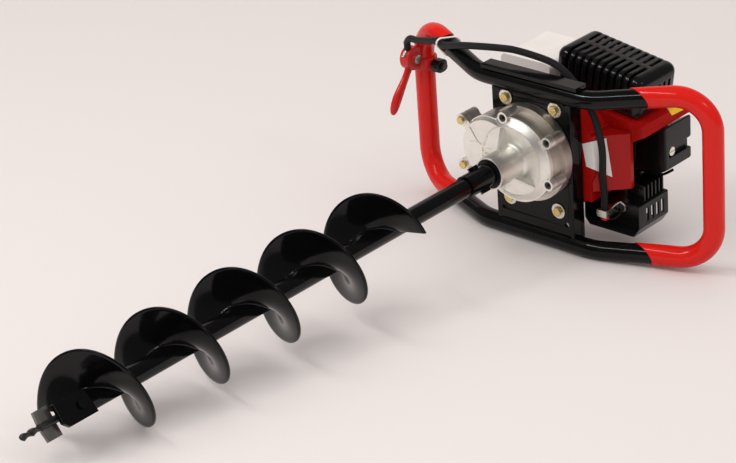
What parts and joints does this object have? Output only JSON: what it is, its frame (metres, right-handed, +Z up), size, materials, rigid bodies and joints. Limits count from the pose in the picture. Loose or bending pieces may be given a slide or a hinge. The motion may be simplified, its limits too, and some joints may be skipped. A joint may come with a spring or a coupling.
{
  "type": "earth auger",
  "caption": "Motor earth auger lying on its side: a petrol engine and reduction gearbox on a two-handled tube frame turn a helical drill with a fishtail point.",
  "frame": {"origin": "centre of the bounding box in plan, on the floor that the machine lies on", "axes": "+Y from the drill's point to the engine, +X to the right handle, +Z up from the floor"},
  "size_m": [0.5082, 1.0757, 0.266],
  "materials": {
    "black_paint": "gloss",
    "dark_steel": "satin",
    "bare_steel": "satin",
    "cast_aluminium": "as cast",
    "red_gloss": "gloss",
    "red_sleeve": "semi-gloss",
    "red_lever": "semi-gloss",
    "black_plastic": "matte",
    "black_rubber": "matte",
    "gold_zinc": "zinc plated",
    "silver_zinc": "zinc plated",
    "white_plastic": "translucent",
    "porcelain": "glazed",
    "filter_foam": "foam"
  },
  "bodies": {
    "machine": {"gearbox_cover": "cast_aluminium", "gearbox_case": "cast_aluminium", "hub_seal": "black_rubber", "bearings": "bare_steel", "cover_bolts": "gold_zinc", "cover_cap_screws": "dark_steel", "frame_tube": "black_paint", "mount_plate": "black_paint", "flat_bar": "black_paint", "grip_left": "red_sleeve", "grip_right": "red_sleeve", "plate_bolts": "gold_zinc", "plate_washers": "silver_zinc", "fan_housing": "red_gloss", "crankcase": "cast_aluminium", "engine_cylinder": "cast_aluminium", "spark_plug": "porcelain", "plug_boot": "black_rubber", "cylinder_cover": "black_plastic", "muffler": "dark_steel", "intake_spacer": "black_plastic", "carburettor": "cast_aluminium", "filter_base": "black_plastic", "filter_element": "filter_foam", "filter_cover": "black_plastic", "filter_screw": "silver_zinc", "ignition_coil": "black_plastic", "fuel_tank": "white_plastic", "lower_guard": "black_plastic", "starter_housing": "black_plastic", "throttle_clamp": "red_lever", "lever_screw": "silver_zinc", "stop_switch": "black_plastic", "cable_conduit": "black_rubber", "cable_tie": "white_plastic", "cable_clip": "silver_zinc"},
    "drill": {"drill_pipe": "black_paint", "drill_socket": "black_paint", "flight": "black_paint", "pilot_point": "dark_steel", "fishtail_wings": "bare_steel", "blade_holder": "black_paint", "holder_bolt": "gold_zinc", "cross_bolt": "silver_zinc", "output_shaft": "bare_steel", "output_gear": "bare_steel"},
    "idler": {"idler_shaft": "bare_steel", "idler_gear": "bare_steel"},
    "drum": {"clutch_drum": "bare_steel"},
    "crank": {"crankshaft": "bare_steel", "flywheel": "cast_aluminium", "clutch_shoes": "bare_steel"},
    "piston": {"piston": "cast_aluminium"},
    "throttle": {"throttle_lever": "red_lever"},
    "choke": {"choke_lever": "black_plastic"},
    "primer": {"primer_bulb": "black_rubber"},
    "stop": {"stop_button": "red_gloss"},
    "pull": {"starter_handle": "black_plastic"},
    "reel": {"starter_reel": "white_plastic"},
    "cap": {"fuel_cap": "black_plastic"}
  },
  "joints": [
    {"name": "drill_spin", "type": "hinge", "parent": "machine", "child": "drill", "pos_m": [0.00202, -0.14001, 0.08414], "axis": [0, 0.9945, 0.1044], "continuous": true},
    {"name": "idler_spin", "type": "hinge", "parent": "machine", "child": "idler", "pos_m": [0.02734, 0.31583, 0.1479], "axis": [0, 0.9945, 0.1044], "continuous": true},
    {"name": "drum_spin", "type": "hinge", "parent": "machine", "child": "drum", "pos_m": [0.01702, 0.34815, 0.12734], "axis": [0, 0.9945, 0.1044], "continuous": true},
    {"name": "crank_spin", "type": "hinge", "parent": "machine", "child": "crank", "pos_m": [0.01702, 0.43766, 0.13673], "axis": [0, 0.9945, 0.1044], "continuous": true},
    {"name": "piston_slide", "type": "slide", "parent": "machine", "child": "piston", "axis": [0.1564, -0.1031, 0.9823], "range_m": [-0.014, 0.014]},
    {"name": "throttle_squeeze", "type": "hinge", "parent": "machine", "child": "throttle", "pos_m": [-0.23597, 0.38162, 0.20121], "axis": [1, 0, 0], "range_deg": [0, 25], "stiffness_Nm_per_rad": 0.3, "springref_deg": -11.46},
    {"name": "choke_turn", "type": "hinge", "parent": "machine", "child": "choke", "pos_m": [0.09502, 0.48085, 0.09401], "axis": [1, 0, 0], "range_deg": [-24, 0]},
    {"name": "primer_press", "type": "slide", "parent": "machine", "child": "primer", "axis": [0, -0.1044, 0.9945], "range_m": [0, 0.004], "stiffness_N_per_m": 300},
    {"name": "stop_press", "type": "slide", "parent": "machine", "child": "stop", "axis": [-1, 0, 0], "range_m": [0, 0.002], "stiffness_N_per_m": 300},
    {"name": "starter_pull", "type": "slide", "parent": "machine", "child": "pull", "axis": [-1, 0, 0], "range_m": [0, 0.05]},
    {"name": "reel_spin", "type": "hinge", "parent": "machine", "child": "reel", "pos_m": [0.01702, 0.51225, 0.14456], "axis": [0, 0.9945, 0.1044], "range_deg": [0, 95], "stiffness_Nm_per_rad": 0.05},
    {"name": "cap_turn", "type": "hinge", "parent": "machine", "child": "cap", "pos_m": [-0.07998, 0.51818, 0.19345], "axis": [0, 0.9945, 0.1044], "range_deg": [0, 360]}
  ],
  "couplings": [
    {"joint": "idler_spin", "follows": "drill_spin", "ratio": -4},
    {"joint": "drum_spin", "follows": "drill_spin", "ratio": 16},
    {"joint": "starter_pull", "follows": "reel_spin", "m_per_rad": 0.03}
  ]
}
